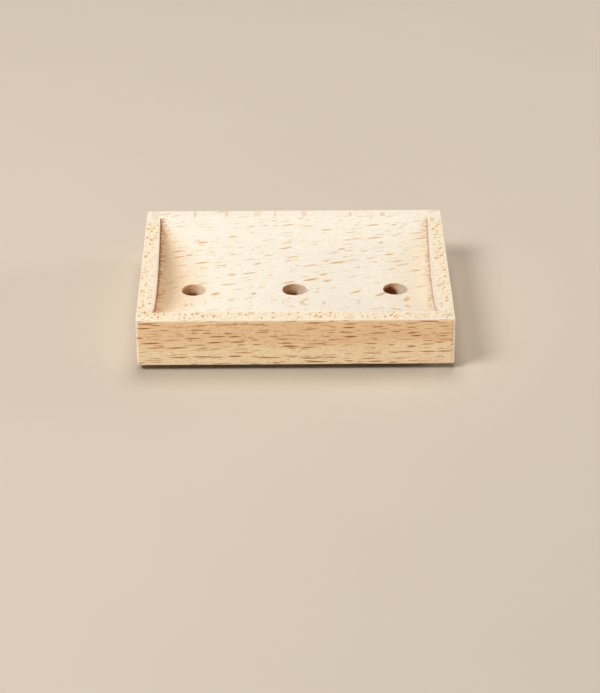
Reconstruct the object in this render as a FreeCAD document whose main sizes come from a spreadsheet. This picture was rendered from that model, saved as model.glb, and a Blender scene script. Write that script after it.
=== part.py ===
"""Soap dish: a scooped and drilled block of solid beech on four push-in rubber feet.

Frame: +Z up, origin on the surface that the dish stands on, under the middle of the block.
X runs along the grain, Y from the front to the back.
"""
import FreeCAD, Part
import Sketcher
import math
import os

# Driving dimensions in millimetres, with what each one sets
SIZES = {
    "block_length": (125.0, "block along the grain"),
    "block_width": (100.0, "block across the grain, front to back"),
    "block_height": (20.0, "planed thickness of the board"),
    "corner_radius": (1.5, "upright corners"),
    "top_edge_radius": (1.2, "outer edge round the rim"),
    "bottom_edge_radius": (0.4, "outer edge round the underside"),
    "end_rim": (5.9, "rim at the left and right ends"),
    "side_rim": (6.5, "rim along the front and the back"),
    "floor_thickness": (7.4, "wood left under the lowest line of the bed"),
    "cutter_corner": (0.5, "rounded corner of the cutter, between the bed and an end wall"),
    "mouth_easing": (0.4, "sanded inner edge of the rim"),
    "drain_count": (3, "drain holes in the row"),
    "drain_diameter": (10.0, "drill for the drain holes"),
    "drain_margin": (15.3, "end wall to the middle of the outer drain hole"),
    "foot_inset": (13.0, "middle of a foot to the outer faces of the block"),
    "foot_diameter": (10.0, "rubber pad"),
    "foot_height": (2.2, "pad thickness, which is the gap under the block"),
    "foot_chamfer": (0.6, "bevelled lower edge of the pad"),
    "stem_diameter": (5.0, "stem over its barbs"),
    "stem_core": (3.8, "stem between its barbs"),
    "stem_tip": (2.8, "flat tip of the stem"),
    "stem_length": (6.0, "pad to the tip of the stem"),
    "barb_count": (2, "barbs on a stem"),
    "barb_collar": (1.0, "plain stem between the pad and the first barb"),
    "socket_clearance": (0.05, "between the barbs and the wall of the socket"),
    "socket_spare": (0.8, "empty depth above the stem"),
}

# Places worked out from the driving dimensions
BED_DEPTH = "(sizes.block_height - sizes.floor_thickness)"
BED_HALF_WIDTH = "(sizes.block_width / 2 - sizes.side_rim)"
BED_HALF_LENGTH = "(sizes.block_length / 2 - sizes.end_rim)"
CUTTER_RADIUS = f"(({BED_HALF_WIDTH}^2 + {BED_DEPTH}^2) / (2 * {BED_DEPTH}))"
CUTTER_AXIS = f"(sizes.floor_thickness + {CUTTER_RADIUS})"
DRAIN_SPAN = f"(2 * ({BED_HALF_LENGTH} - sizes.drain_margin))"
FOOT_X = "(sizes.block_length / 2 - sizes.foot_inset)"
FOOT_Y = "(sizes.block_width / 2 - sizes.foot_inset)"
SOCKET_DIAMETER = "(sizes.stem_diameter + 2 * sizes.socket_clearance)"
SOCKET_DEPTH = "(sizes.stem_length + sizes.socket_spare)"

# Which way each foot lies from the middle of the block
FEET = {
    "foot_front_left": ("-", "-"),
    "foot_front_right": ("", "-"),
    "foot_rear_left": ("-", ""),
    "foot_rear_right": ("", ""),
}

TINY = 1e-6
SKETCH_NORMAL = FreeCAD.Vector(0, 0, 1)

doc = FreeCAD.newDocument("soap_dish")


def make_sheet():
    """The driving dimensions in a spreadsheet, each under its own alias."""
    new_sheet = doc.addObject("Spreadsheet::Sheet", "sizes")
    for row, (alias, (value, meaning)) in enumerate(SIZES.items(), start=1):
        new_sheet.set(f"A{row}", alias)
        new_sheet.set(f"B{row}", str(value))
        new_sheet.set(f"C{row}", meaning)
        new_sheet.setAlias(f"B{row}", alias)
    doc.recompute()
    return new_sheet


sheet = make_sheet()


def measure(expression):
    """The number that an expression on the sheet comes to."""
    return float(sheet.evalExpression(expression))


def origin_feature(body, role):
    return next(feature for feature in body.Origin.OriginFeatures if feature.Role == role)


def new_sketch(body, name, role):
    """A sketch on one of the body's own origin planes."""
    sketch = body.newObject("Sketcher::SketchObject", name)
    sketch.AttachmentSupport = [(origin_feature(body, role), "")]
    sketch.MapMode = "FlatFace"
    return sketch


def bind(sketch, constraint, expression):
    """Add a constraint whose value follows an expression."""
    index = sketch.addConstraint(constraint)
    sketch.setExpression(f"Constraints[{index}]", expression)


def pin_point(sketch, piece, end, across, up):
    """Hold a point of a sketch at two expressions, or on an axis where one of them is "0"."""
    for kind, axis, expression in (("DistanceX", -2, across), ("DistanceY", -1, up)):
        if expression == "0":
            sketch.addConstraint(Sketcher.Constraint("PointOnObject", piece, end, axis))
        else:
            value = measure(expression)
            bind(sketch, Sketcher.Constraint(kind, -1, 1, piece, end, value), expression)


def left_turning_arc(start, end, radius):
    """The arc from one point to another with its centre on the left."""
    half_chord = (end - start) / 2
    leftward = FreeCAD.Vector(-half_chord.y, half_chord.x, 0).normalize()
    rise = math.sqrt(radius ** 2 - half_chord.Length ** 2)
    centre = start + half_chord + leftward * rise
    first = math.atan2(start.y - centre.y, start.x - centre.x)
    last = math.atan2(end.y - centre.y, end.x - centre.x)
    return Part.ArcOfCircle(Part.Circle(centre, SKETCH_NORMAL, radius), first, last)


def draw_outline(sketch, corners):
    """A closed outline through corners given as pairs of expressions, counter-clockwise.

    A corner with a third expression starts an arc of that radius, and any other a straight line.
    """
    points = [FreeCAD.Vector(measure(corner[0]), measure(corner[1]), 0) for corner in corners]
    pieces = []
    for corner, start, end in zip(corners, points, points[1:] + points[:1]):
        if len(corner) > 2:
            radius = measure(corner[2])
            piece = sketch.addGeometry(left_turning_arc(start, end, radius), False)
            bind(sketch, Sketcher.Constraint("Radius", piece, radius), corner[2])
        else:
            piece = sketch.addGeometry(Part.LineSegment(start, end), False)
        pieces.append(piece)
    for piece, following in zip(pieces, pieces[1:] + pieces[:1]):
        sketch.addConstraint(Sketcher.Constraint("Coincident", piece, 2, following, 1))
    for piece, corner in zip(pieces, corners):
        pin_point(sketch, piece, 1, corner[0], corner[1])


def draw_circles(sketch, diameter, centres):
    """Circles of one diameter at centres given as pairs of expressions."""
    size = measure(diameter)
    for across, up in centres:
        centre = FreeCAD.Vector(measure(across), measure(up), 0)
        circle = sketch.addGeometry(Part.Circle(centre, SKETCH_NORMAL, size / 2), False)
        pin_point(sketch, circle, 3, across, up)
        bind(sketch, Sketcher.Constraint("Diameter", circle, size), diameter)


def level_face(shape, height):
    """The level face of a shape at a height."""
    for face in shape.Faces:
        box = face.BoundBox
        if box.ZLength < TINY and abs(box.ZMin - height) < TINY:
            return face
    raise RuntimeError(f"no level face at {height}")


def opening_edges(face):
    """The edges round the openings in a face."""
    outline = face.OuterWire
    return [edge for wire in face.Wires if not wire.isSame(outline) for edge in wire.Edges]


def round_edges(body, name, wanted, radius):
    """A fillet on those edges of the body so far that are wanted."""
    base = body.Tip
    numbered = enumerate(base.Shape.Edges, start=1)
    names = [f"Edge{number}" for number, edge in numbered if any(map(edge.isSame, wanted))]
    fillet = body.newObject("PartDesign::Fillet", name)
    fillet.Base = (base, names)
    fillet.setExpression("Radius", radius)
    doc.recompute()


def cut(body, kind, name, sketch, **settings):
    """A cut in the body so far, which has to take some wood away."""
    before = body.Tip.Shape.Volume
    feature = body.newObject(kind, name)
    feature.Profile = sketch
    for setting, value in settings.items():
        setattr(feature, setting, value)
    doc.recompute()
    if feature.Shape.Volume > before - TINY:
        raise RuntimeError(f"{name} cuts nothing")
    return feature


def saw_blank(body):
    """The planed board, cut to length and width, with its upright corners rounded."""
    right = "sizes.block_length / 2"
    back = "sizes.block_width / 2"
    sketch = new_sketch(body, "blank_outline", "XY_Plane")
    corners = [(f"-{right}", f"-{back}"), (right, f"-{back}"), (right, back), (f"-{right}", back)]
    draw_outline(sketch, corners)
    blank = body.newObject("PartDesign::Pad", "blank")
    blank.Profile = sketch
    blank.setExpression("Length", "sizes.block_height")
    doc.recompute()
    upright = [edge for edge in blank.Shape.Edges if edge.BoundBox.ZLength > TINY]
    round_edges(body, "upright_corners", upright, "sizes.corner_radius")


def scoop_bed(body):
    """The bed, cut by a wide wheel with rounded corners that turns about an axis along X."""
    right = BED_HALF_LENGTH
    corner = "sizes.cutter_corner"
    hub = f"({CUTTER_RADIUS} - {BED_DEPTH}) / 2"
    sketch = new_sketch(body, "cutter_profile", "XZ_Plane")
    sketch.setExpression("AttachmentOffset.Base.y", CUTTER_AXIS)
    draw_outline(sketch, [
        (f"-{right}", hub),
        (right, hub),
        (right, f"{CUTTER_RADIUS} - {corner}", corner),
        (f"{right} - {corner}", CUTTER_RADIUS),
        (f"{corner} - {right}", CUTTER_RADIUS, corner),
        (f"-{right}", f"{CUTTER_RADIUS} - {corner}"),
    ])
    cut(body, "PartDesign::Groove", "bed", sketch, ReferenceAxis=(sketch, ["H_Axis"]), Angle=360)


def drill_drains(body):
    """A row of drain holes along the lowest line of the bed."""
    sketch = new_sketch(body, "first_drain", "XY_Plane")
    draw_circles(sketch, "sizes.drain_diameter", [(f"-{DRAIN_SPAN} / 2", "0")])
    drain = cut(body, "PartDesign::Pocket", "drain", sketch, Type="ThroughAll", Reversed=True)
    row = body.newObject("PartDesign::LinearPattern", "drain_row")
    row.Originals = [drain]
    row.Direction = (origin_feature(body, "X_Axis"), [""])
    row.setExpression("Length", DRAIN_SPAN)
    row.setExpression("Occurrences", "sizes.drain_count")
    body.Tip = row
    doc.recompute()


def bore_sockets(body):
    """Blind holes in the underside for the stems of the feet."""
    sketch = new_sketch(body, "socket_centres", "XY_Plane")
    draw_circles(sketch, SOCKET_DIAMETER, [(x + FOOT_X, y + FOOT_Y) for x, y in FEET.values()])
    depth = measure(SOCKET_DEPTH)
    sockets = cut(body, "PartDesign::Pocket", "sockets", sketch, Length=depth, Reversed=True)
    sockets.setExpression("Length", SOCKET_DEPTH)
    doc.recompute()


def sand_edges(body):
    """Rounded edges round the rim, the underside and the mouth of the bed."""
    top = measure("sizes.block_height")
    rim = level_face(body.Tip.Shape, top)
    round_edges(body, "rim_edge", rim.OuterWire.Edges, "sizes.top_edge_radius")
    underside = level_face(body.Tip.Shape, 0)
    round_edges(body, "lower_edge", underside.OuterWire.Edges, "sizes.bottom_edge_radius")
    rim = level_face(body.Tip.Shape, top)
    round_edges(body, "mouth", opening_edges(rim), "sizes.mouth_easing")


def make_block():
    """The beech block: sawn, scooped, drilled and sanded."""
    body = doc.addObject("PartDesign::Body", "dish_block")
    body.setExpression("Placement.Base.z", "sizes.foot_height")
    saw_blank(body)
    scoop_bed(body)
    drill_drains(body)
    bore_sockets(body)
    sand_edges(body)
    return body


def make_foot(name, x_sign, y_sign):
    """A moulded foot: a pad with a barbed stem, turned about its own axis."""
    body = doc.addObject("PartDesign::Body", name)
    body.setExpression("Placement.Base.x", x_sign + FOOT_X)
    body.setExpression("Placement.Base.y", y_sign + FOOT_Y)
    pad = "sizes.foot_diameter / 2"
    core = "sizes.stem_core / 2"
    bevel = "sizes.foot_chamfer"
    seat = "sizes.foot_height"
    tip = f"({seat} + sizes.stem_length)"
    corners = [("0", "0"), (f"{pad} - {bevel}", "0"), (pad, bevel), (pad, seat), (core, seat)]
    barb_count = round(measure("sizes.barb_count"))
    for barb in range(barb_count):
        share = f"{barb} / sizes.barb_count"
        height = f"{seat} + sizes.barb_collar + (sizes.stem_length - sizes.barb_collar) * {share}"
        corners += [(core, height), ("sizes.stem_diameter / 2", height)]
    corners += [("sizes.stem_tip / 2", tip), ("0", tip)]
    sketch = new_sketch(body, f"{name}_profile", "XZ_Plane")
    draw_outline(sketch, corners)
    turned = body.newObject("PartDesign::Revolution", f"{name}_turned")
    turned.Profile = sketch
    turned.ReferenceAxis = (sketch, ["V_Axis"])
    turned.Angle = 360
    doc.recompute()
    return body


def check_document():
    """Stop if any object of the document failed to build."""
    for thing in doc.Objects:
        if {"Invalid", "Error"} & set(thing.State):
            raise RuntimeError(f"{thing.Name}: {thing.State}")


def export(bodies):
    """Write each piece to its own file."""
    check_document()
    for body in bodies:
        if body.Shape.isNull() or not body.Shape.isValid():
            raise RuntimeError(f"{body.Label} has no valid shape")
    os.makedirs("parts", exist_ok=True)
    for body in bodies:
        body.Shape.exportStep(f"parts/{body.Label}.step")
        print(f"{body.Label}: {body.Shape.Volume:.1f} cubic mm")


pieces = [make_block()]
for foot_name, (x_sign, y_sign) in FEET.items():
    pieces.append(make_foot(foot_name, x_sign, y_sign))
export(pieces)
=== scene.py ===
"""Soap dish: a scooped and drilled block of beech on four push-in rubber feet, on a plain stage."""

import math
import random

import bpy
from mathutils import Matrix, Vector


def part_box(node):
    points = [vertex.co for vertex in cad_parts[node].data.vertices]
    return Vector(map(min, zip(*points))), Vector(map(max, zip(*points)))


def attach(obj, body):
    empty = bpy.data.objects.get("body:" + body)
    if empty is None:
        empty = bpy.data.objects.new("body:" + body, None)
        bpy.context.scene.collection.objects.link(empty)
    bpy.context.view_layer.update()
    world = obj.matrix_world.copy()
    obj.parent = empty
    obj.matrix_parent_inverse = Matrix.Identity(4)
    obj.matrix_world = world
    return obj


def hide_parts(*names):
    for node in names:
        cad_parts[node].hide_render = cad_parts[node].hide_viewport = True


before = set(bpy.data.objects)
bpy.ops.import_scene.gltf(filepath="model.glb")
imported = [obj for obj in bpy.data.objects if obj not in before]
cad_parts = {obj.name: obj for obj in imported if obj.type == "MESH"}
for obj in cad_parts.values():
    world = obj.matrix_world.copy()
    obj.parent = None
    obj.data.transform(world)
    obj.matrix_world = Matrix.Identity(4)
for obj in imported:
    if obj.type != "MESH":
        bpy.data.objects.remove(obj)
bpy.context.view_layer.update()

bl_info = {
    "name": "Soap dish",
    "version": (1, 0, 0),
    "blender": (4, 5, 0),
    "location": "View3D > Sidebar > Soap dish",
    "description": "Models a beech soap dish with a scooped bed, on rubber feet",
    "category": "Object",
}

MM = 0.001
BODY = "root"
BLOCK_LOW, BLOCK_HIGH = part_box("dish_block")
BLOCK_MIDDLE = (BLOCK_LOW + BLOCK_HIGH) / 2
FOOT_NODES = [name for name in sorted(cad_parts) if name.startswith("foot_")]
SLACK = 0.02 * MM
MERGE_DISTANCE = 0.0005 * MM

# How finely the round forms are divided
CORNER_STEPS = 6
TOP_EDGE_STEPS = 6
BOTTOM_EDGE_STEPS = 5
WHEEL_FACETS = 250
WHEEL_CORNER_STEPS = 8
MOUTH_STEPS = 4
DRILL_FACETS = 96
SOCKET_FACETS = 48
FOOT_FACETS = 64
ARC_STEPS = 5
ROUND_PROFILE = 0.5
SMOOTH_ANGLE = math.radians(28)

# Small splinters that the drill has torn from the rims of the drain holes
NICK_SEED = 7
NICKS_PER_DRAIN = 6
NICK_HALF_ANGLE = math.radians(4.5)
NICK_DEPTH = (0.05 * MM, 0.16 * MM)


def length(name, description, millimetres):
    """A size that a user can change."""
    return bpy.props.FloatProperty(
        name=name,
        description=description,
        default=millimetres * MM,
        min=0.0,
        precision=5,
        unit="LENGTH",
    )


def colour(name, description, red, green, blue):
    """A colour that a user can change."""
    return bpy.props.FloatVectorProperty(
        name=name,
        description=description,
        default=(red, green, blue),
        min=0.0,
        max=1.0,
        size=3,
        subtype="COLOR",
    )


def amount(name, description, value):
    """A plain number that a user can change."""
    return bpy.props.FloatProperty(name=name, description=description, default=value, min=0.0)


class DishBlockSizes(bpy.types.PropertyGroup):
    """Sizes of the milled block."""

    end_rim: length("End rim", "Rim at the left and right ends", 5.9)
    side_rim: length("Side rim", "Rim along the front and the back", 6.5)
    floor_thickness: length("Floor", "Wood left under the lowest line of the bed", 7.4)
    cutter_corner: length("Cutter corner", "Rounded corner between the bed and an end wall", 0.5)
    mouth_easing: length("Mouth easing", "Sanded inner edge of the rim", 0.4)
    corner_radius: length("Corner radius", "Rounded upright corners", 1.5)
    top_edge: length("Top edge", "Rounded outer edge of the rim", 1.2)
    bottom_edge: length("Bottom edge", "Rounded edge of the underside", 0.4)
    drain_diameter: length("Drain diameter", "Drill for the drain holes", 10.0)
    drain_margin: length("Drain margin", "End wall to the middle of an outer drain hole", 15.3)
    drain_easing: length("Drain easing", "Sanded rim of a drain hole", 0.4)
    socket_diameter: length("Socket diameter", "Blind hole for the stem of a foot", 5.1)
    socket_depth: length("Socket depth", "Depth of the blind hole", 6.8)


class DishFootSizes(bpy.types.PropertyGroup):
    """Sizes of a rubber foot."""

    pad_diameter: length("Pad diameter", "Round pad", 10.0)
    pad_height: length("Pad height", "Pad thickness, which is the gap under the block", 2.2)
    pad_edge: length("Pad edge", "Rounded lower edge of the pad", 0.6)
    stem_diameter: length("Stem diameter", "Stem over its barbs", 5.0)
    stem_core: length("Stem core", "Stem between its barbs", 3.8)
    stem_tip: length("Stem tip", "Flat tip of the stem", 2.8)
    stem_length: length("Stem length", "Pad to the tip of the stem", 6.0)
    barb_collar: length("Barb collar", "Plain stem below the first barb", 1.0)


class DishFinish(bpy.types.PropertyGroup):
    """Colours of the wood and the rubber."""

    face_wood: colour("Face wood", "Beech in the bed", 0.925, 0.86, 0.74)
    rim_wood: colour("Rim wood", "Beech on the rim", 0.915, 0.80, 0.615)
    # Partly the side grain's own colour and partly painted warm bounce light on the front and the back
    side_wood_and_bounce: colour("Side wood", "Beech on the front and the back", 1.0, 0.81, 0.54)
    side_shade: colour("Side shade", "Tint of the upper part of the front and the back", 0.93, 0.82, 0.74)
    end_wood: colour("End wood", "End grain on the outer ends", 0.80, 0.62, 0.43)
    wall_wood: colour("Wall wood", "End grain on the walls of the bed", 1.0, 0.965, 0.925)
    # Painted shade on the bed beside each end wall, where the wall's shadow falls: deeper and warmer on
    # the left, paler on the right
    painted_left_shade: colour("Left shade", "Tint of the bed beside its left wall", 0.84, 0.65, 0.455)
    painted_right_shade: colour("Right shade", "Tint of the bed beside its right wall", 0.84, 0.785, 0.71)
    # Torn fibres at the foot of each end wall, partly painted shade in the corner between bed and wall
    torn_and_shade_wood: colour("Torn wood", "Rough fibres between the bed and a wall", 0.36, 0.125, 0.025)
    # Painted shade on the underside, which darkens the gap under the block
    underside_shade_wood: colour("Underside", "Planed beech of the underside", 0.50, 0.33, 0.20)
    # Painted shade deep in the drain holes, with a ragged edge
    deep_bore_shade: colour("Scuffed wood", "Rough fibres deep in the drain holes", 0.20, 0.045, 0.01)
    # Painted light and painted shade: the lit side and the shaded side of each drain hole
    lit_bore_wood: colour("Drilled wood", "Smooth side of the drain holes", 1.0, 0.86, 0.69)
    shaded_bore_wood: colour("Bored wood", "Rougher side of the drain holes", 1.0, 0.64, 0.37)
    lip_wood: colour("Lip wood", "Browned lip and streaks of the drain holes", 0.66, 0.33, 0.13)
    face_ray: colour("Face rays", "Tint of the rays on the rim and in the bed", 0.80, 0.50, 0.20)
    side_ray: colour("Side rays", "Tint of the rays on the front and the back", 0.45, 0.21, 0.10)
    rubber: colour("Rubber", "Moulded rubber of the feet", 0.05, 0.049, 0.047)


class DishStage(bpy.types.PropertyGroup):
    """Floor and light."""

    floor: colour("Floor", "Plain pale floor", 0.66, 0.57, 0.46)
    backdrop: colour("Backdrop", "Plain pale backdrop", 0.76, 0.70, 0.62)
    key_light: amount("Key light", "Soft light from above, in front on the left", 14.4)
    top_light: amount("Top light", "Soft light from above and behind", 9.0)
    front_light: amount("Front light", "Low strip of light in front", 4.6)
    fill_light: amount("Fill light", "Low strip of light on the right", 7.5)
    sky_light: amount("Sky light", "Even light from all round", 0.03)


def deselect_all():
    """Leaves nothing selected, the frame's own parts included."""
    bpy.ops.object.select_all(action="DESELECT")


def hold(piece):
    """Makes a piece the only one selected, and the active one."""
    deselect_all()
    piece.select_set(True)
    bpy.context.view_layer.objects.active = piece


def settle(name):
    """Names the new piece and puts its place into its mesh."""
    piece = bpy.context.object
    piece.name = name
    piece.data.name = name
    bpy.ops.object.transform_apply(location=True, rotation=True, scale=True)
    return piece


def drop_picks(piece, kind):
    """Leaves no point, edge or face of a piece selected, ready to pick one kind of them."""
    hold(piece)
    bpy.ops.object.mode_set(mode="EDIT")
    bpy.ops.mesh.select_mode(type=kind)
    bpy.ops.mesh.select_all(action="DESELECT")
    bpy.ops.object.mode_set(mode="OBJECT")


def pick_edges(piece, wanted):
    """Goes into edit mode with those edges selected whose two ends suit."""
    drop_picks(piece, "EDGE")
    points = piece.data.vertices
    for edge in piece.data.edges:
        first, second = edge.vertices
        edge.select = wanted(points[first].co, points[second].co)
    bpy.ops.object.mode_set(mode="EDIT")


def pick_points(piece, wanted):
    """Goes into edit mode with those points selected that suit."""
    drop_picks(piece, "VERT")
    for point in piece.data.vertices:
        point.select = wanted(point.co)
    bpy.ops.object.mode_set(mode="EDIT")


def round_edges(piece, wanted, radius, steps):
    """Rounds the edges that suit."""
    pick_edges(piece, wanted)
    bpy.ops.mesh.bevel(
        offset=radius,
        segments=steps,
        profile=ROUND_PROFILE,
        affect="EDGES",
        clamp_overlap=False,
    )
    bpy.ops.object.mode_set(mode="OBJECT")


def close_up(piece):
    """Merges doubled points and turns all faces outwards."""
    hold(piece)
    bpy.ops.object.mode_set(mode="EDIT")
    bpy.ops.mesh.select_all(action="SELECT")
    bpy.ops.mesh.remove_doubles(threshold=MERGE_DISTANCE)
    bpy.ops.mesh.normals_make_consistent(inside=False)
    bpy.ops.object.mode_set(mode="OBJECT")


def cut_away(piece, cutter):
    """Takes the shape of a cutter out of a piece."""
    modifier = piece.modifiers.new("cut", "BOOLEAN")
    modifier.operation = "DIFFERENCE"
    modifier.solver = "EXACT"
    modifier.object = cutter
    hold(piece)
    bpy.ops.object.modifier_apply(modifier=modifier.name)
    bpy.data.objects.remove(cutter)


def turn(name, profile, middle, facets):
    """Draws a profile of radius and height, from the axis out and back, and turns it round that axis."""
    deselect_all()
    start_radius, start_height = profile[0]
    start = Vector((middle.x + start_radius, middle.y, start_height))
    bpy.ops.mesh.primitive_plane_add(size=MM, location=start)
    piece = settle(name)
    bpy.ops.object.mode_set(mode="EDIT")
    bpy.ops.mesh.select_mode(type="VERT")
    bpy.ops.mesh.select_all(action="SELECT")
    bpy.ops.mesh.merge(type="CENTER")
    for (radius, height), (next_radius, next_height) in zip(profile, profile[1:]):
        step = (next_radius - radius, 0.0, next_height - height)
        bpy.ops.mesh.extrude_region_move(TRANSFORM_OT_translate={"value": step})
    bpy.ops.mesh.select_all(action="SELECT")
    bpy.ops.mesh.spin(steps=facets, angle=math.tau, center=middle, axis=(0.0, 0.0, 1.0))
    bpy.ops.object.mode_set(mode="OBJECT")
    close_up(piece)
    return piece


def finish_piece(piece, material, slot_name, *nodes):
    """Smooths a piece, gives it its material and sets it in the frame."""
    hold(piece)
    bpy.ops.object.shade_smooth_by_angle(angle=SMOOTH_ANGLE)
    modifier = piece.modifiers.new("even shading", "WEIGHTED_NORMAL")
    modifier.keep_sharp = True
    bpy.ops.object.modifier_apply(modifier=modifier.name)
    piece.data.materials.clear()
    piece.data.materials.append(material)
    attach(piece, BODY)
    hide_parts(*nodes)


def saw_blank(sizes):
    """The planed block with its outer edges rounded."""
    deselect_all()
    bpy.ops.mesh.primitive_cube_add(size=1.0, location=BLOCK_MIDDLE, scale=BLOCK_HIGH - BLOCK_LOW)
    block = settle("beech_block")

    def upright(first, second):
        return abs(first.z - second.z) > SLACK

    def on_top(first, second):
        return min(first.z, second.z) > BLOCK_HIGH.z - SLACK

    def on_bottom(first, second):
        return max(first.z, second.z) < BLOCK_LOW.z + SLACK

    round_edges(block, upright, sizes.corner_radius, CORNER_STEPS)
    round_edges(block, on_top, sizes.top_edge, TOP_EDGE_STEPS)
    round_edges(block, on_bottom, sizes.bottom_edge, BOTTOM_EDGE_STEPS)
    return block


def bed_half_length(sizes):
    """Middle of the block to an end wall of the bed."""
    return BLOCK_HIGH.x - sizes.end_rim


def bed_half_width(sizes):
    """Middle of the block to the front or back edge of the bed."""
    return BLOCK_HIGH.y - sizes.side_rim


def bed_level(sizes):
    """Height of the lowest line of the bed."""
    return BLOCK_LOW.z + sizes.floor_thickness


def drain_spacing(sizes):
    """Middle of one drain hole to the middle of the next."""
    return bed_half_length(sizes) - sizes.drain_margin


def scoop_bed(block, sizes):
    """Sinks a wide cutter wheel into the block and eases the mouth that it leaves."""
    half_length = bed_half_length(sizes)
    half_width = bed_half_width(sizes)
    depth = BLOCK_HIGH.z - bed_level(sizes)
    radius = (half_width**2 + depth**2) / (2 * depth)
    axle = Vector((0.0, 0.0, bed_level(sizes) + radius))
    deselect_all()
    bpy.ops.mesh.primitive_cylinder_add(
        vertices=WHEEL_FACETS,
        radius=radius,
        depth=2 * half_length,
        location=axle,
        rotation=(0.0, math.pi / 2, 0.0),
    )
    wheel = settle("cutter_wheel")

    def wheel_rim(first, second):
        return first.x * second.x > 0 and abs(first.x - second.x) < SLACK

    round_edges(wheel, wheel_rim, sizes.cutter_corner, WHEEL_CORNER_STEPS)
    close_up(wheel)
    cut_away(block, wheel)

    def mouth(first, second):
        return all(
            point.z > BLOCK_HIGH.z - SLACK
            and abs(point.x) < half_length + SLACK
            and abs(point.y) < half_width + SLACK
            for point in (first, second)
        )

    round_edges(block, mouth, sizes.mouth_easing, MOUTH_STEPS)


def drill_profile(sizes):
    """The drill with the easing of both rims, from the axis at the top to the axis at the bottom."""
    radius = sizes.drain_diameter / 2
    easing = sizes.drain_easing
    bed = bed_level(sizes)
    reach = 2.0 * MM
    slope = math.pi / 4
    arc = [slope * step / ARC_STEPS for step in range(ARC_STEPS + 1)]
    sweep = [(easing * (1 - math.cos(turned)), easing * math.sin(turned)) for turned in arc]
    flare, rise = sweep[-1]
    profile = [(0.0, bed + reach), (radius + flare + reach, bed + reach)]
    profile += [(radius + out, bed - rise + up) for out, up in reversed(sweep)]
    profile += [(radius + out, BLOCK_LOW.z + rise - up) for out, up in sweep]
    profile += [(radius + flare + reach, BLOCK_LOW.z - reach), (0.0, BLOCK_LOW.z - reach)]
    return profile


def nick_rim(drill, middle, sizes, luck):
    """Tears a few short splinters out of the upper rim of a drain hole."""
    bed = bed_level(sizes)
    for _ in range(NICKS_PER_DRAIN):
        bearing = luck.uniform(0.0, math.tau)
        depth = luck.uniform(*NICK_DEPTH)
        outward = Vector((math.cos(bearing), math.sin(bearing), 0.0))

        def at_nick(point):
            arm = Vector((point.x - middle.x, point.y - middle.y, 0.0))
            near_rim = abs(point.z - bed) < sizes.drain_easing
            return near_rim and arm.length > 0 and arm.angle(outward) < NICK_HALF_ANGLE

        pick_points(drill, at_nick)
        bpy.ops.transform.translate(value=outward * depth)
        bpy.ops.object.mode_set(mode="OBJECT")


def drill_drains(block, sizes):
    """Drills the row of drain holes along the lowest line of the bed."""
    luck = random.Random(NICK_SEED)
    for side in (-1, 0, 1):
        middle = Vector((side * drain_spacing(sizes), 0.0, 0.0))
        drill = turn("drill", drill_profile(sizes), middle, DRILL_FACETS)
        nick_rim(drill, middle, sizes, luck)
        cut_away(block, drill)


def foot_middle(node):
    """Where the axis of a foot stands."""
    low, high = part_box(node)
    return Vector(((low.x + high.x) / 2, (low.y + high.y) / 2, 0.0))


def bore_sockets(block, sizes):
    """Bores a blind socket in the underside for the stem of each foot."""
    top = BLOCK_LOW.z + sizes.socket_depth
    start = BLOCK_LOW.z - MM
    radius = sizes.socket_diameter / 2
    corner = radius / 8
    profile = [(0.0, top), (radius - corner, top), (radius, top - corner), (radius, start), (0.0, start)]
    for node in FOOT_NODES:
        cut_away(block, turn("socket_bit", profile, foot_middle(node), SOCKET_FACETS))


def foot_profile(sizes):
    """A pad with a rounded lower edge and a stem with two barbs, from the axis out and back."""
    pad = sizes.pad_diameter / 2
    edge = sizes.pad_edge
    seat = sizes.pad_height
    core = sizes.stem_core / 2
    barb = sizes.stem_diameter / 2
    tip = seat + sizes.stem_length
    first_barb = seat + sizes.barb_collar
    second_barb = (first_barb + tip) / 2
    profile = [(0.0, 0.0)]
    for step in range(ARC_STEPS + 1):
        turned = math.pi / 2 * step / ARC_STEPS
        profile.append((pad - edge + edge * math.sin(turned), edge - edge * math.cos(turned)))
    profile += [(pad, seat), (core, seat), (core, first_barb), (barb, first_barb), (core, second_barb)]
    profile += [(barb, second_barb), (sizes.stem_tip / 2, tip), (0.0, tip)]
    return profile


def new_node(tree, kind, **settings):
    """Adds a node with its settings."""
    node = tree.nodes.new(kind)
    for name, value in settings.items():
        setattr(node, name, value)
    return node


def feed(tree, socket, value):
    """Links a socket to another node's, or sets it."""
    if isinstance(value, bpy.types.NodeSocket):
        tree.links.new(value, socket)
    elif value is not None:
        socket.default_value = value


def maths(tree, operation, first, second=None, third=None):
    """A sum on numbers."""
    node = new_node(tree, "ShaderNodeMath", operation=operation)
    for socket, value in zip(node.inputs, (first, second, third)):
        feed(tree, socket, value)
    return node.outputs[0]


def product(tree, *masks):
    """Several masks multiplied together."""
    result = masks[0]
    for mask in masks[1:]:
        result = maths(tree, "MULTIPLY", result, mask)
    return result


def within(tree, value, limit):
    """A mask of where a value is less than a limit from nought."""
    return maths(tree, "LESS_THAN", maths(tree, "ABSOLUTE", value), limit)


def vectors(tree, operation, first, second=None):
    """A sum on vectors."""
    node = new_node(tree, "ShaderNodeVectorMath", operation=operation)
    feed(tree, node.inputs[0], first)
    feed(tree, node.inputs[1], second)
    return node.outputs[0]


def parts_of(tree, vector):
    """The three parts of a vector."""
    node = new_node(tree, "ShaderNodeSeparateXYZ")
    feed(tree, node.inputs[0], vector)
    return node.outputs[0], node.outputs[1], node.outputs[2]


def vector_of(tree, first, second, third):
    """A vector from its three parts."""
    node = new_node(tree, "ShaderNodeCombineXYZ")
    for socket, value in zip(node.inputs, (first, second, third)):
        feed(tree, socket, value)
    return node.outputs[0]


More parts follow.
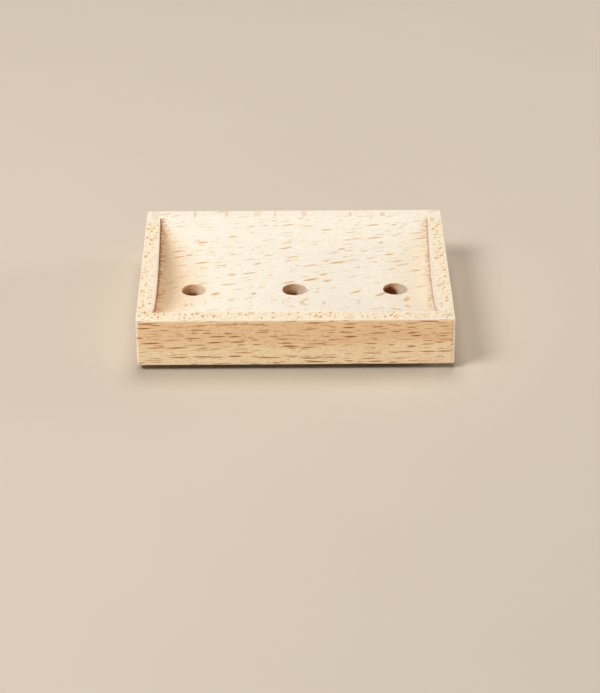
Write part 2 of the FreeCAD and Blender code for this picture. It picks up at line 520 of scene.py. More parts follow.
def ramp(tree, value, start, end, low=0.0, high=1.0):
    """A smooth step from low to high as the value goes from start to end."""
    node = new_node(tree, "ShaderNodeMapRange", interpolation_type="SMOOTHSTEP")
    for socket, setting in zip(node.inputs, (value, start, end, low, high)):
        feed(tree, socket, setting)
    return node.outputs[0]


def between(tree, share, low, high):
    """A smooth step from low to high as a share goes from nought to one."""
    return ramp(tree, share, 0.0, 1.0, low, high)


def tinted(shade, tint):
    """A plain colour with a tint over it."""
    return tuple(one * other for one, other in zip(shade, tint))


def opaque(shade):
    """A colour with its alpha."""
    if isinstance(shade, bpy.types.NodeSocket):
        return shade
    red, green, blue = shade
    return (red, green, blue, 1.0)


# Places of the sockets of a mix node, whose names are the same for values and for colours
MIX_VALUES = (2, 3)
MIX_COLOURS = (6, 7)
MIXED_VALUE = 0
MIXED_COLOUR = 2


def blend(tree, share, first, second, how="MIX"):
    """Mixes two colours."""
    node = new_node(tree, "ShaderNodeMix", data_type="RGBA", blend_type=how)
    feed(tree, node.inputs["Factor"], share)
    for place, shade in zip(MIX_COLOURS, (first, second)):
        feed(tree, node.inputs[place], opaque(shade))
    return node.outputs[MIXED_COLOUR]


def blend_values(tree, share, first, second):
    """Mixes two values."""
    node = new_node(tree, "ShaderNodeMix", data_type="FLOAT")
    feed(tree, node.inputs["Factor"], share)
    for place, value in zip(MIX_VALUES, (first, second)):
        feed(tree, node.inputs[place], value)
    return node.outputs[MIXED_VALUE]


def cloud(tree, place, grain, detail=2.0, roughness=0.5):
    """Soft noise about a half, whose blobs have the given size along each axis."""
    node = new_node(tree, "ShaderNodeTexNoise", noise_dimensions="3D")
    feed(tree, node.inputs["Vector"], vectors(tree, "DIVIDE", place, grain))
    feed(tree, node.inputs["Scale"], 1.0)
    feed(tree, node.inputs["Detail"], detail)
    feed(tree, node.inputs["Roughness"], roughness)
    return node.outputs["Fac"]


def add_socket(group, name, kind, output=False, value=None):
    """A named input or output of a node group."""
    direction = "OUTPUT" if output else "INPUT"
    socket = group.interface.new_socket(name=name, in_out=direction, socket_type=f"NodeSocket{kind}")
    if value is not None:
        socket.default_value = value


# How unlike each other flecks are, how soft their edge is, and from which girth on they are strongest
FLECK_LENGTHS = (0.4, 1.0)
FLECK_GIRTHS = (0.5, 1.0)
FLECK_STRENGTHS = (0.45, 1.0)
FLECK_EDGE = (1.0, 0.6)
STRONGEST_FROM = 0.9

# Fine mottling
MOTTLE_DETAIL = 3.0
MOTTLE_ROUGHNESS = 0.6


def fleck_group():
    """Pointed flecks scattered through the wood, unlike each other, each leaning up along the grain."""
    group = bpy.data.node_groups.new("wood_flecks", "ShaderNodeTree")
    add_socket(group, "Place", "Vector")
    add_socket(group, "Cell", "Vector")
    add_socket(group, "Half", "Vector")
    add_socket(group, "Lean", "Float", value=0.0)
    add_socket(group, "Share", "Float", value=1.0)
    add_socket(group, "Mask", "Float", output=True)
    given = new_node(group, "NodeGroupInput")
    result = new_node(group, "NodeGroupOutput")
    place = vectors(group, "DIVIDE", given.outputs["Place"], given.outputs["Cell"])
    cells = new_node(group, "ShaderNodeTexVoronoi", voronoi_dimensions="3D", feature="F1")
    feed(group, cells.inputs["Vector"], place)
    feed(group, cells.inputs["Scale"], 1.0)
    feed(group, cells.inputs["Randomness"], 1.0)
    length_luck, girth_luck, keep_luck = parts_of(group, cells.outputs["Color"])
    offset = vectors(group, "SUBTRACT", place, cells.outputs["Position"])
    along, across, radial = parts_of(group, vectors(group, "MULTIPLY", offset, given.outputs["Cell"]))
    across = maths(group, "SUBTRACT", across, maths(group, "MULTIPLY", along, given.outputs["Lean"]))
    offset = vectors(group, "DIVIDE", vector_of(group, along, across, radial), given.outputs["Half"])
    along, across, radial = parts_of(group, offset)
    along = maths(group, "DIVIDE", along, between(group, length_luck, *FLECK_LENGTHS))
    across = maths(group, "DIVIDE", across, between(group, girth_luck, *FLECK_GIRTHS))
    reach = maths(group, "MULTIPLY_ADD", along, along, maths(group, "ABSOLUTE", across))
    reach = maths(group, "MULTIPLY_ADD", radial, radial, reach)
    shape = ramp(group, reach, *FLECK_EDGE)
    kept = maths(group, "LESS_THAN", keep_luck, given.outputs["Share"])
    strength = ramp(group, girth_luck, 0.0, STRONGEST_FROM, *FLECK_STRENGTHS)
    feed(group, result.inputs["Mask"], product(group, shape, kept, strength))
    return group


def mottle_group():
    """Fine mottling of a surface, about a half, built once for all the materials."""
    known = bpy.data.node_groups.get("fine_mottle")
    if known:
        return known
    group = bpy.data.node_groups.new("fine_mottle", "ShaderNodeTree")
    add_socket(group, "Place", "Vector")
    add_socket(group, "Grain", "Vector")
    add_socket(group, "Value", "Float", output=True)
    given = new_node(group, "NodeGroupInput")
    result = new_node(group, "NodeGroupOutput")
    place = given.outputs["Place"]
    value = cloud(group, place, given.outputs["Grain"], MOTTLE_DETAIL, MOTTLE_ROUGHNESS)
    feed(group, result.inputs["Value"], value)
    return group


def use_group(tree, group, **values):
    """Places a group and feeds its inputs by name."""
    node = new_node(tree, "ShaderNodeGroup", node_tree=group)
    for name, value in values.items():
        feed(tree, node.inputs[name], value)
    return node.outputs[0]


def mottle(tree, place, grain):
    """Fine mottling about a half, whose blobs have the given size along each axis."""
    return use_group(tree, mottle_group(), Place=place, Grain=grain)


def new_material(name):
    """An empty material with its shader, ready to be fed."""
    material = bpy.data.materials.new(name)
    material.use_nodes = True
    tree = material.node_tree
    tree.nodes.clear()
    shader = new_node(tree, "ShaderNodeBsdfPrincipled")
    output = new_node(tree, "ShaderNodeOutputMaterial")
    tree.links.new(shader.outputs["BSDF"], output.inputs["Surface"])
    return material, tree, shader


def millimetre_place(tree):
    """The place on the piece, in millimetres."""
    coordinates = new_node(tree, "ShaderNodeTexCoord")
    scale = 1.0 / MM
    return vectors(tree, "MULTIPLY", coordinates.outputs["Object"], (scale, scale, scale))


def bumps(tree, height, distance, strength):
    """A normal that follows a height."""
    node = new_node(tree, "ShaderNodeBump")
    feed(tree, node.inputs["Height"], height)
    feed(tree, node.inputs["Distance"], distance)
    feed(tree, node.inputs["Strength"], strength)
    return node.outputs["Normal"]


# Layers of flecks, in millimetres: size of a cell, half size of a fleck, share of cells that have one
RAY_LAYERS = (
    ((9.0, 2.2, 90.0), (4.2, 0.30, 75.0), 0.85),
    ((6.0, 1.8, 70.0), (2.5, 0.21, 55.0), 0.7),
    ((3.2, 1.1, 50.0), (1.2, 0.14, 40.0), 0.6),
)
RIM_DOTS = ((3.1, 2.1, 50.0), (1.55, 0.8, 60.0), 0.8)
RIM_SPECKS = ((1.9, 1.3, 50.0), (0.8, 0.42, 60.0), 0.7)
RIM_BARS = ((11.0, 40.0, 50.0), (2.4, 40.0, 60.0), 0.6)
ROUND_FLECKS = ((11.0, 7.0, 60.0), (1.5, 3.0, 60.0), 0.65)

# Rays: how strongly each layer shows, how they grow on the front and the back, and how they lie
RAYS_ON_FLAT = (1.0, 0.7, 0.3)
RAYS_ON_SIDE = (1.0, 0.85, 0.55)
RAYS_ON_RIM = 0.5
RAYS_ON_WALL = 0.25
RAYS_ON_END = 0.5
RAY_FACING = (0.6, 0.9)
RAY_STRETCH = 1.35
RAY_SWELL = 1.3
RAY_TILT = 0.193
RAY_CURVE = 0.001
RAY_SWAY = 2.4
RAY_SWAY_GRAIN = (60.0, 30.0, 12.0)
RAY_LEAN = (0.015, 0.09)
LEAN_CHANGE = (-47.0, -35.0)

# Flecks on the rim: where they change, and how strongly they show
RIM_DEPTH = 0.3
RIM_FACING = (0.85, 0.99)
BACK_FADE = 4.0
FRONT_FADE = 3.0
DOT_SLANT = 0.5
DOT_STRENGTH = 1.2
SPECK_STRENGTHS = (0.3, 0.7)
BAR_STRENGTH = 0.55
CLUSTER_GRAIN = (16.0, 16.0, 16.0)
CLUSTER_EDGE = (0.38, 0.6)
CLUSTER_STRENGTHS = (0.75, 1.0)

# Round flecks, in a row in front of the drain holes
ROUND_ROW = 13.5
ROUND_ROW_EDGE = (4.5, 3.0)
ROUND_STRENGTH = 0.7
HOLLOW_SHIFT = 1.5
HOLLOW_STRENGTH = 0.2

# Growth rings
RING_SPACING = 2.7
RING_TILT = -0.15
RING_SWAY = 5.0
RING_SWAY_GRAIN = (80.0, 14.0, 14.0)
RING_SHARPNESS = 3.0
RING_STRENGTHS = (0.12, 0.5)
RING_TINT = (0.93, 0.85, 0.76)

# The value that mottling lies about
NOISE_MIDDLE = 0.5

# Torn fibres at the feet of the end walls, darkened by painted shade in that corner, more on the left
HAIR_GRAIN = (3.2, 0.75, 0.75)
HAIR_EDGE = (0.5, 0.6)
HAIR_REACH = (4.6, 0.6)
HAIR_STRENGTH = 0.9
TORN_GRAIN = (1.1, 1.1, 1.1)
TORN_ROUGHNESS = 2.6
TORN_LINE = (1.1, 0.45)
TORN_BELOW_RIM = 0.45
TORN_FACING = (0.97, 0.8)
TORN_CHANGE = (-10.0, 10.0)
TORN_AND_SHADE_STRENGTHS = (0.95, 0.56)

# Drain holes: their streaks and lip, a painted lit side and shaded side, and painted shade deeper in
DRILLED_RISE = 0.1
DRILLED_FACING = (0.8, 0.5)
STREAK_GRAIN = (4.0, 4.0, 0.6)
STREAK_EDGE = (0.53, 0.6)
STREAK_STRENGTH = 0.85
LIP_DEPTHS = (0.8, 0.1)
LIP_STRENGTH = 0.55
LIT_SIDE = (-2.5, 3.0)
LIT_SIDE_BROWNING = 0.4
SHADED_QUARTER = (9.0, 1.0)
SHADED_QUARTER_STRENGTHS = (0.1, 1.0)
RAGGED_HEIGHT = 4.0
DEEP_SHADE_DEPTHS = (2.4, 4.9)
DEEP_SHADE_STRENGTH = 0.97
RAISED_CHANGE = (10.0, 35.0)
RAISED_HEIGHT = 2.6
RAISED_SIDE = (1.5, -2.0)

# Plain colour of each face of the wood, and the painted shade beside the end walls
BED_DEPTH = 0.3
WALL_DEPTH = 1.0
LEAST_WALL = 0.1
SHADE_REACH = 2.2
SIDE_FACING = (0.62, 0.96)
END_FACING = (0.6, 0.95)
BACK_RIM_SHARE = 0.15
WAVE_GRAIN = (60.0, 20.0, 8.0)
WAVE_HEIGHT = 10.0
WAVE_EDGE = (13.0, 20.0)

# Pores, fibres and grit, with their tints on the flat and on the sides
PORE_GRAIN = (0.5, 0.4, 0.4)
PORE_EDGE = (0.54, 0.66)
PORE_TINT = (0.84, 0.73, 0.61)
FIBRE_GRAIN = (7.0, 0.22, 0.22)
FIBRE_EDGE = (0.42, 0.68)
FIBRE_TINTS = ((0.97, 0.94, 0.90), (0.95, 0.88, 0.80))
GRIT_GRAIN = (0.9, 0.7, 0.5)
GRIT_EDGE = (0.40, 0.65)
GRIT_TINTS = ((0.95, 0.91, 0.85), (0.93, 0.86, 0.79))

# Painted shade on the underside, painted highlight on the rounded edges, gloss and relief of the wood
UNDER_DEPTH = 0.1
UNDERSIDE_SHADE_SHARE = 0.8
EDGE_HIGHLIGHT_FLATNESS = (0.985, 0.85)
EDGE_HIGHLIGHT_SHARE = 0.35
EDGE_HIGHLIGHT_WOOD = (0.98, 0.92, 0.80)
GLOSS_EDGE = (0.3, 0.7)
WOOD_ROUGHNESS = (0.5, 0.66)
WOOD_SPECULAR = 0.3
WOOD_RELIEF = 0.05 * MM
WOOD_RELIEF_STRENGTH = 0.6
RAY_RELIEF = -0.4

# Rubber
SPECK_GRAIN = (0.35, 0.35, 0.35)
BLOOM_GRAIN = (3.0, 3.0, 1.5)
BLOOM_EDGE = (0.35, 0.7)
BLOOM_SHADE = (0.085, 0.083, 0.08)
RUBBER_ROUGHNESS = (0.62, 0.85)
RUBBER_RELIEF = 0.04 * MM
RUBBER_RELIEF_STRENGTH = 0.5

# Floor
PATCH_GRAIN = (90.0, 90.0, 90.0)
PATCH_TINT = (0.97, 0.965, 0.955)
FLOOR_ROUGHNESS = 0.9
FLOOR_SPECULAR = 0.1


class Spot:
    """A spot on the wood: its place in millimetres, and how squarely its surface faces each way."""

    def __init__(self, tree, sizes):
        self.tree = tree
        self.place = millimetre_place(tree)
        self.x, self.y, self.z = parts_of(tree, self.place)
        coordinates = new_node(tree, "ShaderNodeTexCoord")
        facing = vectors(tree, "ABSOLUTE", coordinates.outputs["Normal"])
        self.end, self.side, self.up = parts_of(tree, facing)
        self.half_length = bed_half_length(sizes) / MM
        self.half_width = bed_half_width(sizes) / MM
        self.bed = bed_level(sizes) / MM
        self.top = BLOCK_HIGH.z / MM
        self.between_walls = within(tree, self.x, self.half_length)
        not_below = maths(tree, "GREATER_THAN", self.z, self.bed - BED_DEPTH)
        self.inside = product(tree, self.between_walls, within(tree, self.y, self.half_width), not_below)
        self.outside = maths(tree, "SUBTRACT", 1.0, self.inside)
        self.from_wall = maths(tree, "SUBTRACT", self.half_length, maths(tree, "ABSOLUTE", self.x))

    def mottle(self, grain):
        """Fine mottling of the wood at this spot."""
        return mottle(self.tree, self.place, grain)


def flecks(spot, group, place, layer, lean=0.0):
    """One layer of flecks."""
    cell, half, share = layer
    return use_group(spot.tree, group, Place=place, Cell=cell, Half=half, Lean=lean, Share=share)


def swollen(spot, layer):
    """A layer whose flecks are longer and thicker on the front and the back."""
    cell, (along, across, radial), share = layer
    along = ramp(spot.tree, spot.side, *RAY_FACING, along, along * RAY_STRETCH)
    across = ramp(spot.tree, spot.side, *RAY_FACING, across, across * RAY_SWELL)
    return cell, vector_of(spot.tree, along, across, radial), share


def ray_ribbons(spot, group):
    """Rays as ribbons in gently bent sheets from front to back, broken up where they are cut flat."""
    tree = spot.tree
    sway = cloud(tree, spot.place, RAY_SWAY_GRAIN)
    sheet = maths(tree, "MULTIPLY_ADD", sway, RAY_SWAY, spot.z)
    bend = maths(tree, "MULTIPLY_ADD", spot.y, RAY_CURVE, RAY_TILT)
    sheet = maths(tree, "MULTIPLY_ADD", spot.y, bend, sheet)
    lean = ramp(tree, spot.y, *LEAN_CHANGE, *RAY_LEAN)
    place = vector_of(tree, spot.x, sheet, spot.y)
    ribbons = None
    for layer, on_flat, on_side in zip(RAY_LAYERS, RAYS_ON_FLAT, RAYS_ON_SIDE):
        mask = flecks(spot, group, place, swollen(spot, layer), lean)
        mask = product(tree, mask, ramp(tree, spot.side, *RAY_FACING, on_flat, on_side))
        ribbons = mask if ribbons is None else maths(tree, "MAXIMUM", ribbons, mask)
    return ribbons


def rim_mask(spot):
    """The level top of the rim."""
    tree = spot.tree
    high = maths(tree, "GREATER_THAN", spot.z, spot.top - RIM_DEPTH)
    return product(tree, high, ramp(tree, spot.up, *RIM_FACING), spot.outside)


def rim_flecks(spot, group):
    """Dots and specks on the front and the ends of the rim, and paler bars on its back."""
    tree = spot.tree
    slant = ramp(tree, spot.x, -spot.half_length, spot.half_length, 0.0, DOT_SLANT)
    place = vector_of(tree, spot.y, spot.x, spot.z)
    dots = product(tree, flecks(spot, group, place, RIM_DOTS, slant), DOT_STRENGTH)
    at_front = ramp(tree, spot.y, -spot.half_width + FRONT_FADE, -spot.half_width, *SPECK_STRENGTHS)
    specks = product(tree, flecks(spot, group, place, RIM_SPECKS, slant), at_front)
    dots = maths(tree, "MAXIMUM", dots, specks)
    clusters = ramp(tree, cloud(tree, spot.place, CLUSTER_GRAIN), *CLUSTER_EDGE, *CLUSTER_STRENGTHS)
    bars = product(tree, flecks(spot, group, spot.place, RIM_BARS), BAR_STRENGTH)
    at_back = ramp(tree, spot.y, spot.half_width - BACK_FADE, spot.half_width)
    return blend_values(tree, at_back, product(tree, dots, clusters), bars)


def round_flecks(spot, group):
    """Round and hollow flecks where the bed runs along the sheets."""
    tree = spot.tree
    from_row = maths(tree, "ADD", spot.y, ROUND_ROW)
    place = vector_of(tree, spot.x, from_row, spot.z)
    shifted = vector_of(tree, maths(tree, "SUBTRACT", spot.x, HOLLOW_SHIFT), from_row, spot.z)
    hollow = between(tree, flecks(spot, group, shifted, ROUND_FLECKS), 1.0, HOLLOW_STRENGTH)
    near_row = ramp(tree, maths(tree, "ABSOLUTE", from_row), *ROUND_ROW_EDGE)
    row_share = product(tree, spot.inside, near_row)
    return product(tree, flecks(spot, group, place, ROUND_FLECKS), hollow, row_share, ROUND_STRENGTH)


def ray_mask(spot):
    """All the flecks of the wood."""
    tree = spot.tree
    group = fleck_group()
    on_rim = rim_mask(spot)
    ribbons = product(tree, ray_ribbons(spot, group), between(tree, on_rim, 1.0, RAYS_ON_RIM))
    on_top = product(tree, rim_flecks(spot, group), on_rim)
    on_top = maths(tree, "MAXIMUM", ribbons, on_top)
    return maths(tree, "MAXIMUM", on_top, round_flecks(spot, group))


def ring_mask(spot):
    """Growth rings: a soft rise to a thin darker line."""
    tree = spot.tree
    sway = cloud(tree, spot.place, RING_SWAY_GRAIN)
    level = maths(tree, "MULTIPLY_ADD", spot.z, RING_TILT, spot.y)
    ring = maths(tree, "DIVIDE", maths(tree, "MULTIPLY_ADD", sway, RING_SWAY, level), RING_SPACING)
    return maths(tree, "POWER", maths(tree, "FRACT", ring), RING_SHARPNESS)


def torn_and_shade_mask(spot):
    """Torn fibres along the foot of each end wall: a rough line, with hairs that lie along the grain. The
    dark line is partly painted shade in the corner, and it is darker on the left wall, where the shade
    falls.
    """
    tree = spot.tree
    hair = ramp(tree, spot.mottle(HAIR_GRAIN), *HAIR_EDGE)
    hair = product(tree, hair, ramp(tree, spot.from_wall, *HAIR_REACH))
    rough = maths(tree, "SUBTRACT", spot.mottle(TORN_GRAIN), NOISE_MIDDLE)
    line = ramp(tree, maths(tree, "MULTIPLY_ADD", rough, TORN_ROUGHNESS, spot.from_wall), *TORN_LINE)
    torn_and_shade = maths(tree, "MAXIMUM", product(tree, hair, HAIR_STRENGTH), line)
    below_rim = maths(tree, "LESS_THAN", spot.z, spot.top - TORN_BELOW_RIM)
    off_wall = ramp(tree, spot.end, *TORN_FACING)
    # Painted shade: the line and hairs are darker on the left, where the wall's shadow falls
    left_more = ramp(tree, spot.x, *TORN_CHANGE, *TORN_AND_SHADE_STRENGTHS)
    return product(tree, torn_and_shade, spot.inside, below_rim, off_wall, left_more)


def drilled_mask(spot, sizes):
    """The walls of the drain holes."""
    tree = spot.tree
    low = maths(tree, "LESS_THAN", spot.z, spot.bed + DRILLED_RISE)
    upright = ramp(tree, spot.up, *DRILLED_FACING)
    near_row = within(tree, spot.y, sizes.drain_diameter / MM)
    return product(tree, low, upright, near_row, spot.between_walls)


def drilled_colour(spot, finish, sizes):
    """Wood in the drain holes: a browned lip and streaks, a painted lit side and shaded side, and painted
    shade deeper in.
    """
    tree = spot.tree
    streak = spot.mottle(STREAK_GRAIN)
    spacing = drain_spacing(sizes) / MM
    from_axis = maths(tree, "WRAP", spot.x, spacing / 2, -spacing / 2)

    # A painted shaded side and lit side, browned at the lip and in streaks
    lit_side = ramp(tree, from_axis, *LIT_SIDE)
    lip_low, lip_high = LIP_DEPTHS
    lip = ramp(tree, spot.z, spot.bed - lip_low, spot.bed - lip_high, 0.0, LIP_STRENGTH)
    browned = maths(tree, "MAXIMUM", lip, ramp(tree, streak, *STREAK_EDGE, 0.0, STREAK_STRENGTH))
    browned = product(tree, browned, between(tree, lit_side, 1.0, LIT_SIDE_BROWNING))
    bore_light_and_shade = blend(tree, lit_side, finish.shaded_bore_wood, finish.lit_bore_wood)
    clean = blend(tree, browned, bore_light_and_shade, finish.lip_wood)

    # Painted shade deep in the holes, weaker in the right-back and left-front quarters, which comes up
    # higher on the left side of the right hole
    shaded_quarter = ramp(tree, product(tree, from_axis, spot.y), *SHADED_QUARTER, *SHADED_QUARTER_STRENGTHS)
    rough = maths(tree, "SUBTRACT", streak, NOISE_MIDDLE)
    ragged = maths(tree, "MULTIPLY_ADD", rough, RAGGED_HEIGHT, spot.z)
    raised = ramp(tree, spot.x, *RAISED_CHANGE, 0.0, RAISED_HEIGHT)
    raised = product(tree, raised, ramp(tree, from_axis, *RAISED_SIDE))
    ragged = maths(tree, "SUBTRACT", ragged, raised)
    torn_high, torn_low = DEEP_SHADE_DEPTHS
    torn_and_shade = ramp(tree, ragged, spot.bed - torn_high, spot.bed - torn_low, 0.0, DEEP_SHADE_STRENGTH)
    return blend(tree, product(tree, torn_and_shade, shaded_quarter), clean, finish.deep_bore_shade)


def edge_highlight_mask(spot):
    """The rounded outer edges, painted a little paler as a highlight."""
    tree = spot.tree
    flatness = maths(tree, "MAXIMUM", maths(tree, "MAXIMUM", spot.end, spot.side), spot.up)
    return product(tree, ramp(tree, flatness, *EDGE_HIGHLIGHT_FLATNESS), spot.outside)


def plain_colour(spot, finish, on_side, on_end, on_wall):
    """Plain colour of each face of the wood, with painted shade on the bed beside the end walls."""
    tree = spot.tree
    front_more = ramp(tree, spot.y, spot.half_width - BACK_FADE, spot.half_width, 1.0, BACK_RIM_SHARE)
    on_rim = product(tree, spot.outside, front_more)
    flat = blend(tree, on_rim, finish.face_wood, finish.rim_wood)
    # Painted shade on the bed beside each end wall, reaching further out where the wall stands higher
    wall_height = maths(tree, "MAXIMUM", maths(tree, "SUBTRACT", spot.top, spot.z), LEAST_WALL)
    shade_beside_wall = ramp(tree, maths(tree, "DIVIDE", spot.from_wall, wall_height), SHADE_REACH, 0.0)
    shade_beside_wall = product(tree, shade_beside_wall, spot.inside)
    on_right = maths(tree, "GREATER_THAN", spot.x, 0.0)
    shade = blend(tree, on_right, finish.painted_left_shade, finish.painted_right_shade)
    flat = blend(tree, shade_beside_wall, flat, shade, "MULTIPLY")
    wave = maths(tree, "MULTIPLY_ADD", cloud(tree, spot.place, WAVE_GRAIN), WAVE_HEIGHT, spot.z)
    upper = ramp(tree, wave, *WAVE_EDGE)
    # The front and the back carry painted warm bounce light in their colour
    side = blend(tree, upper, finish.side_wood_and_bounce, tinted(finish.side_wood_and_bounce, finish.side_shade))
    wood = blend(tree, on_side, flat, side)
    end = blend(tree, on_wall, finish.end_wood, finish.wall_wood)
    return blend(tree, on_end, wood, end)


def beech_material(finish, sizes):
    """Bare sanded beech, with rays, growth rings, fibres and end grain that run through the wood."""
    material, tree, shader = new_material("beech")
    spot = Spot(tree, sizes)
    rays = ray_mask(spot)
    torn_and_shade = torn_and_shade_mask(spot)
    fibre = spot.mottle(FIBRE_GRAIN)
    grit = spot.mottle(GRIT_GRAIN)
    on_side = ramp(tree, spot.side, *SIDE_FACING)
    on_end = ramp(tree, spot.end, *END_FACING)
    on_wall = within(tree, spot.x, spot.half_length + WALL_DEPTH)
    outer_end = maths(tree, "SUBTRACT", on_end, product(tree, on_end, on_wall))
    wood = plain_colour(spot, finish, on_side, on_end, on_wall)

    # Pores, rings, fibres and rays
    pores = ramp(tree, spot.mottle(PORE_GRAIN), *PORE_EDGE)
    wood = blend(tree, product(tree, pores, outer_end), wood, PORE_TINT, "MULTIPLY")
    ring_depth = maths(tree, "MAXIMUM", between(tree, on_side, *RING_STRENGTHS), outer_end)
    wood = blend(tree, product(tree, ring_mask(spot), ring_depth), wood, RING_TINT, "MULTIPLY")
    fibre_tint = blend(tree, on_side, *FIBRE_TINTS)
    wood = blend(tree, ramp(tree, fibre, *FIBRE_EDGE), wood, fibre_tint, "MULTIPLY")
    grit_tint = blend(tree, on_side, *GRIT_TINTS)
    wood = blend(tree, ramp(tree, grit, *GRIT_EDGE), wood, grit_tint, "MULTIPLY")
    ray_tint = blend(tree, maths(tree, "MAXIMUM", on_side, outer_end), finish.face_ray, finish.side_ray)
    ray_depth = between(tree, on_end, 1.0, RAYS_ON_WALL)
    ray_depth = maths(tree, "MAXIMUM", ray_depth, product(tree, outer_end, RAYS_ON_END))
    wood = blend(tree, product(tree, rays, ray_depth), wood, ray_tint, "MULTIPLY")

    # Painted shade on the underside, a painted highlight on the rounded edges, and the rough line at the
    # feet of the walls with its painted shade
    underside = maths(tree, "LESS_THAN", spot.z, BLOCK_LOW.z / MM + UNDER_DEPTH)
    wood = blend(tree, product(tree, underside, UNDERSIDE_SHADE_SHARE), wood, finish.underside_shade_wood)
    # Painted highlight along the rounded outer edges
    wood = blend(tree, product(tree, edge_highlight_mask(spot), EDGE_HIGHLIGHT_SHARE), wood, EDGE_HIGHLIGHT_WOOD)
    wood = blend(tree, torn_and_shade, wood, finish.torn_and_shade_wood)
    drilled = drilled_colour(spot, finish, sizes)
    wood = blend(tree, drilled_mask(spot, sizes), wood, drilled)
    feed(tree, shader.inputs["Base Color"], wood)

    # Gloss and relief
    feed(tree, shader.inputs["Roughness"], ramp(tree, fibre, *GLOSS_EDGE, *WOOD_ROUGHNESS))
    shader.inputs["Specular IOR Level"].default_value = WOOD_SPECULAR
    relief = maths(tree, "MULTIPLY_ADD", rays, RAY_RELIEF, maths(tree, "ADD", fibre, grit))
    relief = maths(tree, "SUBTRACT", relief, torn_and_shade)
    feed(tree, shader.inputs["Normal"], bumps(tree, relief, WOOD_RELIEF, WOOD_RELIEF_STRENGTH))
    return material


def rubber_material(finish):
    """Moulded rubber, dull, with a fine texture."""
    material, tree, shader = new_material("rubber")
    place = millimetre_place(tree)
    speck = mottle(tree, place, SPECK_GRAIN)
    bloom = mottle(tree, place, BLOOM_GRAIN)
    shade = blend(tree, ramp(tree, bloom, *BLOOM_EDGE), finish.rubber, BLOOM_SHADE)
    feed(tree, shader.inputs["Base Color"], shade)
    feed(tree, shader.inputs["Roughness"], ramp(tree, speck, *GLOSS_EDGE, *RUBBER_ROUGHNESS))
    feed(tree, shader.inputs["Normal"], bumps(tree, speck, RUBBER_RELIEF, RUBBER_RELIEF_STRENGTH))
    return material


def floor_material(stage):
    """Plain pale floor with the faintest mottling."""
    material, tree, shader = new_material("pale_floor")
    patch = mottle(tree, millimetre_place(tree), PATCH_GRAIN)
    shade = blend(tree, patch, stage.floor, tinted(stage.floor, PATCH_TINT))
    feed(tree, shader.inputs["Base Color"], shade)
    shader.inputs["Roughness"].default_value = FLOOR_ROUGHNESS
    shader.inputs["Specular IOR Level"].default_value = FLOOR_SPECULAR
    return material


# Where the camera stands in metres, how it is turned in degrees, and its lens in millimetres
CAMERA_EYE = (-0.00377, -0.86557, 0.45481)
CAMERA_TURN = (61.407, 0.146, -0.469)
CAMERA_NEAR = 0.01
CAMERA_LENS = 123.24
CAMERA_SENSOR = 36.0

# Floor and lights, in metres: where each light stands, and its width and height
FLOOR_SIZE = 8.0
SKY_COLOUR = (1.0, 0.985, 0.965)
LIGHT_AIM = Vector((0.0, 0.0, 0.012))
LIGHTS = {
    "key_light": (Vector((-0.80, -0.46, 1.10)), (0.6, 0.6)),
    "top_light": (Vector((0.05, 0.52, 1.26)), (0.7, 0.7)),
    "front_light": (Vector((0.0, -1.30, 0.11)), (1.2, 0.16)),
    "fill_light": (Vector((1.18, 0.30, 0.20)), (0.5, 0.16)),
}


def soft_light(name, place, size, strength):
    """A soft light of some width and height, aimed at the dish."""
    deselect_all()
    aim = (LIGHT_AIM - place).to_track_quat("-Z", "Y").to_euler()
    bpy.ops.object.light_add(type="AREA", location=place, rotation=aim)
    lamp = bpy.context.object
    lamp.name = name
    lamp.data.shape = "RECTANGLE"
    lamp.data.size, lamp.data.size_y = size
    lamp.data.energy = strength


def light_world(stage):
    """Even light from all round, with a pale backdrop where the camera looks past the floor."""
    world = bpy.data.worlds.new("studio")
    bpy.context.scene.world = world
    world.use_nodes = True
    tree = world.node_tree
    tree.nodes.clear()
    light = new_node(tree, "ShaderNodeBackground")
    light.inputs["Color"].default_value = opaque(SKY_COLOUR)
    light.inputs["Strength"].default_value = stage.sky_light
    backdrop = new_node(tree, "ShaderNodeBackground")
    backdrop.inputs["Color"].default_value = opaque(stage.backdrop)
    path = new_node(tree, "ShaderNodeLightPath")
    seen = maths(tree, "MAXIMUM", path.outputs["Is Camera Ray"], path.outputs["Is Glossy Ray"])
    seen = maths(tree, "MAXIMUM", seen, path.outputs["Is Transmission Ray"])
    mix = new_node(tree, "ShaderNodeMixShader")
    feed(tree, mix.inputs[0], seen)
    feed(tree, mix.inputs[1], light.outputs[0])
    feed(tree, mix.inputs[2], backdrop.outputs[0])
    output = new_node(tree, "ShaderNodeOutputWorld")
    feed(tree, output.inputs["Surface"], mix.outputs[0])


class DISH_OT_mill_block(bpy.types.Operator):
    """Mills the beech block: its rounded edges, scooped bed, drain holes and sockets"""

    bl_idname = "dish.mill_block"
    bl_label = "Mill the block"

    def execute(self, context):
        sizes = context.scene.dish_block
        block = saw_blank(sizes)
        scoop_bed(block, sizes)
        drill_drains(block, sizes)
        bore_sockets(block, sizes)
        close_up(block)
        beech = beech_material(context.scene.dish_finish, sizes)
        finish_piece(block, beech, "beech", "dish_block")
        return {"FINISHED"}


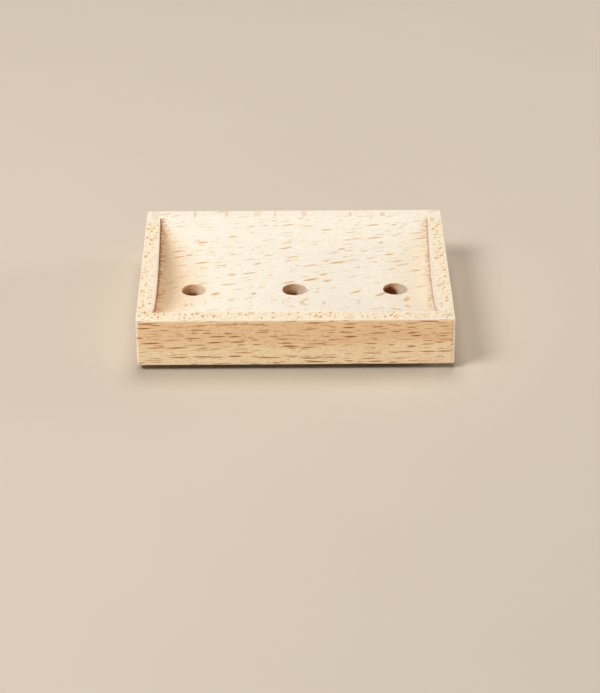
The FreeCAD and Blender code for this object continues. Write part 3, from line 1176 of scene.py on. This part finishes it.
class DISH_OT_mould_feet(bpy.types.Operator):
    """Moulds one rubber foot and copies it to the four sockets"""

    bl_idname = "dish.mould_feet"
    bl_label = "Mould the feet"

    def execute(self, context):
        sizes = context.scene.dish_foot
        rubber = rubber_material(context.scene.dish_finish)
        first_node = FOOT_NODES[0]
        first = turn(f"rubber_{first_node}", foot_profile(sizes), foot_middle(first_node), FOOT_FACETS)
        feet = {first_node: first}
        for node in FOOT_NODES[1:]:
            hold(first)
            bpy.ops.object.duplicate(linked=False)
            step = foot_middle(node) - foot_middle(first_node)
            bpy.ops.transform.translate(value=step)
            feet[node] = settle(f"rubber_{node}")
        for node, foot in feet.items():
            finish_piece(foot, rubber, "rubber", node)
        return {"FINISHED"}


class DISH_OT_set_stage(bpy.types.Operator):
    """Sets the floor, the soft lights and the camera"""

    bl_idname = "dish.set_stage"
    bl_label = "Set the stage"

    def execute(self, context):
        scene = context.scene
        stage = scene.dish_stage
        deselect_all()
        bpy.ops.mesh.primitive_plane_add(size=FLOOR_SIZE, location=(0.0, 0.0, 0.0))
        floor = settle("floor")
        floor.data.materials.append(floor_material(stage))
        for name, (place, size) in LIGHTS.items():
            soft_light(name, place, size, getattr(stage, name))
        light_world(stage)
        deselect_all()
        turned = [math.radians(angle) for angle in CAMERA_TURN]
        bpy.ops.object.camera_add(location=CAMERA_EYE, rotation=turned)
        camera = context.object
        camera.data.lens = CAMERA_LENS
        camera.data.sensor_width = CAMERA_SENSOR
        camera.data.clip_start = CAMERA_NEAR
        scene.camera = camera
        scene.view_settings.view_transform = "Standard"
        return {"FINISHED"}


class VIEW3D_PT_dish(bpy.types.Panel):
    """Lists the steps that make the dish"""

    bl_label = "Soap dish"
    bl_space_type = "VIEW_3D"
    bl_region_type = "UI"
    bl_category = "Soap dish"

    def draw(self, context):
        for step in STEPS:
            self.layout.operator(step.bl_idname)
        for name in GROUPS:
            box = self.layout.box()
            group = getattr(context.scene, name)
            for field in group.__annotations__:
                box.prop(group, field)


GROUPS = {
    "dish_block": DishBlockSizes,
    "dish_foot": DishFootSizes,
    "dish_finish": DishFinish,
    "dish_stage": DishStage,
}
STEPS = (DISH_OT_mill_block, DISH_OT_mould_feet, DISH_OT_set_stage)
CLASSES = (*GROUPS.values(), *STEPS, VIEW3D_PT_dish)


def register():
    """Makes the classes and the settings known."""
    for known in CLASSES:
        bpy.utils.register_class(known)
    for name, group in GROUPS.items():
        setattr(bpy.types.Scene, name, bpy.props.PointerProperty(type=group))


def unregister():
    """Takes the settings and the classes away again."""
    for name in GROUPS:
        delattr(bpy.types.Scene, name)
    for known in reversed(CLASSES):
        bpy.utils.unregister_class(known)


def main():
    """Makes the dish and its stage."""
    register()
    bpy.ops.dish.mill_block()
    bpy.ops.dish.mould_feet()
    bpy.ops.dish.set_stage()


if __name__ == "__main__":
    main()
